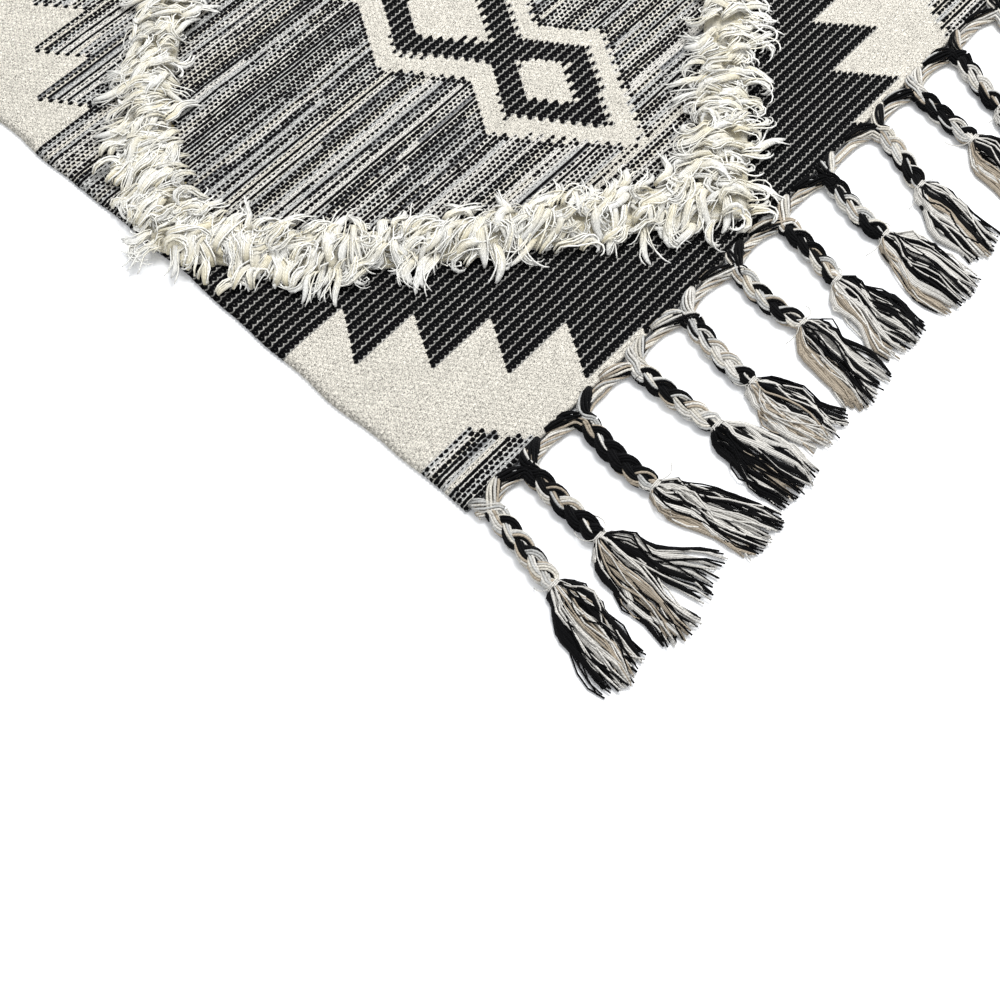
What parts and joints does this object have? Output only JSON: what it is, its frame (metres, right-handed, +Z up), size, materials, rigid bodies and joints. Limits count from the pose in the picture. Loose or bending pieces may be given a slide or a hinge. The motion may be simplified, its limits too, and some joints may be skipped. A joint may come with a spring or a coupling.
{
  "type": "wool rug",
  "caption": "Small flat-woven rug with raised pile diamonds, a stepped pattern, knotted headings and braided tassels at both ends.",
  "frame": {"origin": "middle of the rug's footprint, on the floor that it lies on", "axes": "+Y along the rug's length from one fringe to the other, +X across it, +Z up from the floor"},
  "size_m": [0.6662, 1.577, 0.0209],
  "materials": {
    "woven_wool": "matt weft-faced wool in black, cream and mixed yarns",
    "cream_pile": "long loose cream wool pile",
    "knotted_warp": "black, white and natural warp threads, knotted",
    "braided_warp": "black, white and natural warp threads, braided and loose"
  },
  "bodies": {
    "root": {"heading_far": "knotted_warp", "heading_near": "knotted_warp", "pile_far_high_left": "cream_pile", "pile_far_high_right": "cream_pile", "pile_far_low_left": "cream_pile", "pile_far_low_right": "cream_pile", "pile_near_high_left": "cream_pile", "pile_near_high_right": "cream_pile", "pile_near_low_left": "cream_pile", "pile_near_low_right": "cream_pile", "tassel_far_01": "braided_warp", "tassel_far_02": "braided_warp", "tassel_far_03": "braided_warp", "tassel_far_04": "braided_warp", "tassel_far_05": "braided_warp", "tassel_far_06": "braided_warp", "tassel_far_07": "braided_warp", "tassel_far_08": "braided_warp", "tassel_far_09": "braided_warp", "tassel_far_10": "braided_warp", "tassel_far_11": "braided_warp", "tassel_far_12": "braided_warp", "tassel_near_01": "braided_warp", "tassel_near_02": "braided_warp", "tassel_near_03": "braided_warp", "tassel_near_04": "braided_warp", "tassel_near_05": "braided_warp", "tassel_near_06": "braided_warp", "tassel_near_07": "braided_warp", "tassel_near_08": "braided_warp", "tassel_near_09": "braided_warp", "tassel_near_10": "braided_warp", "tassel_near_11": "braided_warp", "tassel_near_12": "braided_warp", "woven_field": "woven_wool"}
  },
  "joints": []
}
